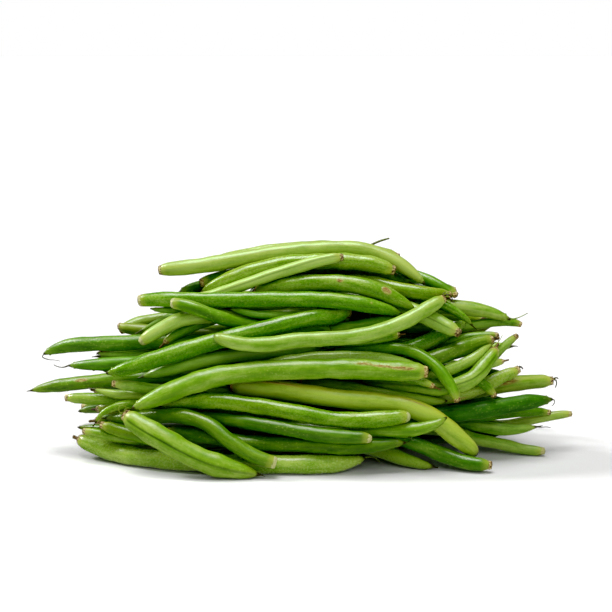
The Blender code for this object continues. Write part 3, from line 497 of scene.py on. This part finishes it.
def scars(flaws, at, middle, angle, radius):
    """How strongly each point is scarred. A flaw's strength falls off from its middle as
    exp(-(x / length)^2 - (y / width)^2)."""
    total = np.zeros((len(at), angle.shape[1]))
    for across, turn, long, broad, strength in flaws:
        place = at[np.argmin(np.abs(middle[:, 0] - across))]
        off = (angle - math.radians(turn) + math.pi) % (2 * math.pi) - math.pi
        total = np.maximum(total, strength * np.exp(-(((at[:, None] - place) / long) ** 2)
                                                    - ((off * radius / broad) ** 2)))
    return total


def full_look(given, whole, outer_is_stalk, chance):
    """A bean's look with what isn't given drawn by lot."""
    look = dict(tone=chance.uniform(0.3, 0.8), yellow=chance.choice([0, 0, 0.1, 0.3]), gold=0,
                stalk=chance.choice(["scar", "scar", "fresh", "stub"]),
                tail=chance.choice(["point", "thread"]), curl=chance.uniform(-1, 1, 3),
                flat=chance.uniform(0.03, 0.12), roll=chance.uniform(-180, 180),
                twist=chance.uniform(-0.6, 0.6), seam=chance.choice([0.1, 0.3, 0.6]),
                bulge=chance.uniform(0.3, 1.0), dry=chance.uniform(0.0, 1.0),
                gloss=chance.uniform(0.2, 0.8), lot=chance.random())
    look.update(given)
    if not whole:
        look["tone"] += chance.uniform(-TONE_SPREAD, TONE_SPREAD)
        look["tail" if outer_is_stalk else "stalk"] = None
    return look


def skin_piece(name, node, material):
    """The fine skin of all the beans of one node, as one piece. None of it lies below the floor:
    its height is max(z, 0)."""
    chance = np.random.default_rng([SEED, *name.encode()])
    inner = name.startswith("hand_inner")
    size = INNER_MESH if inner else HAND_MESH if name.startswith("hand") else LEAD_MESH
    flaws = [flaw[1:] for flaw in FLAWS if flaw[0] == name]
    skins = []
    for centres, radii, whole in beans_of(node):
        outer_is_stalk = radii[0] > 0.3 * radii.max()
        look = full_look(LOOKS.get(name, {}), whole, outer_is_stalk, chance)
        if not whole and not outer_is_stalk:
            centres, radii = centres[::-1], radii[::-1]
        skins.append(pod(centres, radii, look, size, chance, flaws))
        skins += [curl(centres[0 if end == "stalk" else -1], path, radius, dry, look)
                  for owner, end, path, radius, dry in CURLS if owner == name]
    corners, start = [], 0
    for points, quads, caps, _ in skins:
        corners += (quads + start).tolist() + (caps + start).tolist()
        start += len(points)
    mesh = bpy.data.meshes.new(name)
    places = np.vstack([skin[0] for skin in skins]) * MM
    places[:, 2] = np.maximum(places[:, 2], 0.0)
    mesh.from_pydata(places.tolist(), [], corners)
    for field in skins[0][3]:
        values = np.concatenate([skin[3][field] for skin in skins]).astype(np.float32)
        mesh.attributes.new(field, "FLOAT", "POINT").data.foreach_set("value", values)
    mesh.polygons.foreach_set("use_smooth", np.ones(len(mesh.polygons), bool))
    mesh.materials.append(material)
    piece = bpy.data.objects.new("skin_" + name, mesh)
    bpy.context.scene.collection.objects.link(piece)
    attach(piece, "root")
    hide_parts(name)


# ---- Materials

PALE_PORE = "#A9BE63"
YELLOWING = "#A5A02C"
COOLER_GREEN = (0.55, 0.92, 0.5, 1.0)
# A very dark green laid along the seams' grooves: painted shade in their creases.
SEAM_GROOVE_SHADE = "#1F3E06"
SCAR_EDGE, SCAR_TAN, SCAR_BROWN = "#A3A052", "#D8C478", "#8E6424"
NECK_GREEN, CORK_TAN, CORK_BROWN = "#A5B04A", "#E0D08C", "#96702A"
CUT_BROWN, DRY_BROWN, FRESH_CUT = "#5E4416", "#3A2A10", "#C6D08A"
TAIL_OLIVE, TAIL_BROWN = "#7C8C34", "#33290F"
LOT_SHIFT = 900.0  # mm between the patterns of different beans
BUMP_HEIGHT = 0.00018


def add(tree, kind, sockets=(), **settings):
    """Adds a node. settings are its own values, and sockets gives each input a value or
    another node's output."""
    node = tree.nodes.new(kind)
    for name, value in settings.items():
        setattr(node, name, value)
    for socket, value in dict(sockets).items():
        if isinstance(value, bpy.types.NodeSocket):
            tree.links.new(value, node.inputs[socket])
        else:
            node.inputs[socket].default_value = value
    return node


class SkinNodes:
    """The node tree of a pod's skin, with the kinds of node that it is made from. Its patterns
    lie in millimetres along and round the pod, and each bean has its own stretch of them."""

    def __init__(self, tree):
        self.tree = tree
        shift = self.maths("MULTIPLY", self.field("lot"), LOT_SHIFT)
        place = self.vector(self.field("along_mm"), self.field("across_mm"),
                            self.field("depth_mm"))
        self.place = add(tree, "ShaderNodeVectorMath",
                         {0: place, 1: self.vector(shift, shift, 0.0)},
                         operation="ADD").outputs[0]
        self.grain = self.noise(1.2, 0.9, 3, 0.65)
        self.bands = self.noise(1.1, 2.6, 3, 0.65)
        self.flecks = self.spread(self.noise(2.4, 0.8, 4, 0.7), 0.38, 0.6)

    def field(self, attribute):
        return add(self.tree, "ShaderNodeAttribute", attribute_name=attribute).outputs["Fac"]

    def vector(self, x, y, z):
        return add(self.tree, "ShaderNodeCombineXYZ", {0: x, 1: y, 2: z}).outputs[0]

    def maths(self, operation, a, b=0.0, clamp=False):
        return add(self.tree, "ShaderNodeMath", {0: a, 1: b}, operation=operation,
                   use_clamp=clamp).outputs[0]

    def mixed(self, share, a, b, mode="MIX"):
        b = hex_linear(b) if isinstance(b, str) else b
        return add(self.tree, "ShaderNodeMix", {0: share, 6: a, 7: b}, data_type="RGBA",
                   blend_type=mode).outputs[2]

    def spread(self, value, low, high, to_low=0.0, to_high=1.0):
        return add(self.tree, "ShaderNodeMapRange",
                   {0: value, 1: low, 2: high, 3: to_low, 4: to_high},
                   interpolation_type="SMOOTHSTEP").outputs[0]

    def scaled(self, size_along, size_round):
        return add(self.tree, "ShaderNodeVectorMath", {
            0: self.place, 1: (1 / size_along, 1 / size_round, 1 / size_round)},
            operation="MULTIPLY").outputs[0]

    def noise(self, size_along, size_round, detail=2.0, rough=0.5):
        """Noise with patches of these sizes, in millimetres, along the pod and round it."""
        return add(self.tree, "ShaderNodeTexNoise", {
            "Vector": self.scaled(size_along, size_round), "Scale": 1.0, "Detail": detail,
            "Roughness": rough}).outputs[0]

    def shifted(self, value, pattern, amount, clamp=False):
        """The value with a pattern round one half added to it."""
        return self.maths("ADD", value, self.maths(
            "MULTIPLY", self.maths("SUBTRACT", pattern, 0.5), amount), clamp)


def pod_green(nodes, dark, middle, light):
    """The green of the pod: patches, streaks, faint bands across and grain in its tone, on a ramp
    whose light end holds painted highlight, then pale pores, a cooler or yellower hue, and painted
    shade along the seams' grooves."""
    tone = nodes.shifted(nodes.field("tone"), nodes.noise(22, 4.5), 0.85)
    tone = nodes.shifted(tone, nodes.noise(5, 2.2, 3, 0.6), 0.4)
    tone = nodes.shifted(tone, nodes.noise(10, 0.9, 3), 0.4)
    tone = nodes.shifted(tone, nodes.bands, 0.16)
    tone = nodes.shifted(tone, nodes.grain, 0.26, True)
    ramp = add(nodes.tree, "ShaderNodeValToRGB", {"Fac": tone})
    first, last = ramp.color_ramp.elements
    first.position, first.color = 0.05, hex_linear(dark)
    # The light end is the pale green of light beans, whitened with painted highlight.
    last.position, last.color = 0.95, hex_linear(light)
    ramp.color_ramp.elements.new(0.5).color = hex_linear(middle)

    pores = add(nodes.tree, "ShaderNodeTexVoronoi", {
        "Vector": nodes.scaled(1 / 0.6, 1 / 0.8), "Scale": 1.0,
        "Randomness": 1.0}).outputs["Distance"]
    pores = nodes.maths("MULTIPLY", nodes.spread(pores, 0.36, 0.1),
                        nodes.spread(nodes.noise(30, 8), 0.4, 0.62, 0.0, 0.4))
    colour = nodes.mixed(pores, ramp.outputs["Color"], PALE_PORE)
    cool = nodes.maths("MULTIPLY", nodes.field("yellow"), -1.0, True)
    colour = nodes.mixed(cool, colour, COOLER_GREEN, "MULTIPLY")
    yellow = nodes.maths("MULTIPLY", nodes.field("yellow"),
                         nodes.spread(nodes.noise(34, 5), 0.34, 0.62, 0.25, 1.0))
    colour = nodes.mixed(yellow, colour, YELLOWING)
    # Painted shade in the seams' grooves: a dark green laid where each groove runs.
    return nodes.mixed(nodes.maths("MULTIPLY", nodes.field("seam"), 0.8), colour, SEAM_GROOVE_SHADE)


def with_scars(nodes, colour):
    """Flaky tan and brown scars with a pale edge. Returns the colour and where it is scarred."""
    scar = nodes.field("scar")
    colour = nodes.mixed(nodes.spread(scar, 0.05, 0.4, 0.0, 0.55), colour, SCAR_EDGE)
    brown = nodes.mixed(nodes.flecks, hex_linear(SCAR_TAN), SCAR_BROWN)
    scarred = nodes.maths("MULTIPLY", nodes.spread(scar, 0.2, 0.5),
                          nodes.spread(nodes.flecks, 0.1, 0.6, 0.3, 1.0))
    return nodes.mixed(scarred, colour, brown), scarred


def with_ends(nodes, colour):
    """A paler neck and a corky or freshly cut stalk end, and a tail that dries to dark brown.
    Returns the colour and where it is cork."""
    dry = nodes.field("dry")
    edge = nodes.shifted(nodes.field("stalk_mm"), nodes.noise(1.1, 1.1, 3, 0.6), 2.6)
    colour = nodes.mixed(nodes.spread(edge, 6.0, 2.4, 0, 0.55), colour, NECK_GREEN)
    knots = nodes.spread(nodes.noise(0.9, 0.9, 3, 0.7), 0.42, 0.6)
    cork = nodes.mixed(knots, hex_linear(CORK_TAN), CORK_BROWN)
    cork = nodes.mixed(nodes.spread(edge, 0.9, 0.0, 0.0, 0.8), cork, CUT_BROWN)
    cork = nodes.mixed(nodes.maths("MULTIPLY", dry, knots), cork, DRY_BROWN)
    cork = nodes.mixed(nodes.maths("MULTIPLY", dry, -1.0, True), cork, FRESH_CUT)
    corky = nodes.spread(edge, 2.3, 1.7)
    colour = nodes.mixed(corky, colour, cork)
    edge = nodes.shifted(nodes.field("tail_mm"), nodes.grain, 2.0)
    colour = nodes.mixed(nodes.spread(edge, 8.0, 2.0, 0, 0.4), colour, TAIL_OLIVE)
    return nodes.mixed(nodes.spread(edge, 2.2, 0.8, 0, 0.92), colour, TAIL_BROWN), corky


def bean_skin(name, dark, middle, light):
    """Fresh pod skin: a thin waxy cuticle with fine down over green flesh, so it is half glossy
    and its highlights are broad and broken. Scars and cork are dull and flaky."""
    material = bpy.data.materials.new(name)
    material.use_nodes = True
    tree = material.node_tree
    tree.nodes.clear()
    nodes = SkinNodes(tree)
    colour, scarred = with_scars(nodes, pod_green(nodes, dark, middle, light))
    colour, corky = with_ends(nodes, colour)

    dull = nodes.maths("MAXIMUM", corky, scarred)
    rough = nodes.shifted(nodes.maths("MULTIPLY", dull, 0.3), nodes.grain, 0.24)
    rough = nodes.maths("ADD", rough, nodes.spread(nodes.field("gloss"), 0.0, 1.0, 0.44, 0.24),
                        True)
    height = nodes.shifted(nodes.maths("MULTIPLY", nodes.bands, 0.3), nodes.grain, 0.5)
    height = nodes.shifted(height, nodes.noise(6, 0.6, 2), 0.5)
    flakes = nodes.maths("MULTIPLY", dull, nodes.maths("MULTIPLY", nodes.flecks, 3.0))
    height = nodes.maths("ADD", height, flakes)
    bump = add(tree, "ShaderNodeBump", {"Height": height, "Strength": 0.8,
                                        "Distance": BUMP_HEIGHT}).outputs[0]
    shader = add(tree, "ShaderNodeBsdfPrincipled", {
        "Base Color": colour, "Roughness": rough, "Normal": bump, "IOR": 1.5,
        "Specular IOR Level": 0.75, "Sheen Weight": 0.06, "Sheen Roughness": 0.4})
    add(tree, "ShaderNodeOutputMaterial", {"Surface": shader.outputs[0]})
    return material


def floor_paint():
    """A matt white painted tabletop, so pale that it melts into the backdrop."""
    material = bpy.data.materials.new("matt_white_tabletop")
    material.use_nodes = True
    shader = material.node_tree.nodes["Principled BSDF"]
    shader.inputs["Base Color"].default_value = hex_linear("#D7D7D7")
    shader.inputs["Roughness"].default_value = 0.9
    shader.inputs["Specular IOR Level"].default_value = 0.1
    return material


# ---- The set

CAMERA_AIM = (1.6, -31.2, 77.0)
CAMERA_DISTANCE = 694.0
CAMERA_HEIGHT_ANGLE = 10.0
CAMERA_LENS = 85.0
WORLD_FILL = 0.16  # the backdrop's light on the beans, of the white that the camera sees
FLOOR_SIZE = 90.0  # metres, so that its far edge melts into the backdrop
# The camera's tone curve between black and white, in linear light: deep shadows go black
TONE_CURVE = ((0.02, 0.001), (0.042, 0.012), (0.06, 0.029), (0.13, 0.102), (0.26, 0.242),
              (0.43, 0.42), (0.65, 0.59), (0.85, 0.77))


def make_camera():
    tilt = math.radians(CAMERA_HEIGHT_ANGLE)
    camera = bpy.data.cameras.new("camera")
    camera.lens = CAMERA_LENS
    camera.clip_start = 0.01
    made = bpy.data.objects.new("camera", camera)
    aim = np.array(CAMERA_AIM)
    back = np.array([0, -math.cos(tilt), math.sin(tilt)])
    made.location = (aim + back * CAMERA_DISTANCE) * MM
    made.rotation_euler = (math.pi / 2 - tilt, 0, 0)
    bpy.context.scene.collection.objects.link(made)
    bpy.context.scene.camera = made


def make_sun(name, way, strength, spread_angle, mirrored=True):
    """A far softbox: light from one way, as wide in the sky as its angle, in degrees. One that
    isn't mirrored lights the beans and leaves no highlight on them."""
    light = bpy.data.lights.new(name, "SUN")
    light.energy = strength
    light.angle = math.radians(spread_angle)
    made = bpy.data.objects.new(name, light)
    way = np.array(way) / np.linalg.norm(way)
    made.rotation_euler = (math.acos(way[2]), 0, math.atan2(way[0], -way[1]))
    made.visible_glossy = mirrored
    bpy.context.scene.collection.objects.link(made)


def make_world():
    """A backdrop that the camera sees as pure white, and that lights the beans only faintly."""
    world = bpy.data.worlds.new("white_studio")
    world.use_nodes = True
    tree = world.node_tree
    tree.nodes.clear()
    seen = add(tree, "ShaderNodeLightPath").outputs["Is Camera Ray"]
    strength = add(tree, "ShaderNodeMix", {0: seen, 2: WORLD_FILL, 3: 1.0})
    background = add(tree, "ShaderNodeBackground", {
        "Color": (1, 1, 1, 1), "Strength": strength.outputs[0]})
    add(tree, "ShaderNodeOutputWorld", {"Surface": background.outputs[0]})
    bpy.context.scene.world = world


def set_tones():
    view = bpy.context.scene.view_settings
    view.view_transform = "Standard"
    view.use_curve_mapping = True
    every_channel = view.curve_mapping.curves[3]
    for light_in, light_out in TONE_CURVE:
        every_channel.points.new(light_in, light_out)
    for point in every_channel.points:
        point.handle_type = "VECTOR"
    view.curve_mapping.update()


def make_set():
    bpy.ops.mesh.primitive_plane_add(size=FLOOR_SIZE, location=(0, 0, 0))
    floor = bpy.context.object
    floor.name = "tabletop"
    floor.data.materials.append(floor_paint())
    floor.visible_glossy = False
    make_sun("overhead_softbox", (-0.12, -0.05, 1.0), 2.9, 36)
    make_sun("left_softbox", (-1.0, 0.3, 0.86), 2.2, 13)
    make_sun("front_softbox", (0.35, -1.0, 0.7), 1.2, 60, mirrored=False)
    make_world()
    set_tones()


make_camera()
make_set()
# Each skin's last colour, its lightest tone, is the pale green of light beans, whitened with
# painted highlight.
SKINS = {
    "green_skin": bean_skin("fresh_bean_skin", "#265200", "#5C8A0A", "#9CB856"),
    "light_skin": bean_skin("pale_bean_skin", "#386600", "#6A9414", "#A4BE5E"),
    "dark_skin": bean_skin("dark_bean_skin", "#1C4400", "#467404", "#80A036"),
    "yellow_skin": bean_skin("yellowing_bean_skin", "#3C6202", "#6C900E", "#A4B848"),
}
SLOTS = {part["node"]: part["material_slot"] for part in frame["record"]["subparts"]}
for NAME, NODE in sorted(frame["nodes"].items()):
    skin_piece(NAME, NODE, SKINS[SLOTS[NAME]])

bpy.context.view_layer.update()
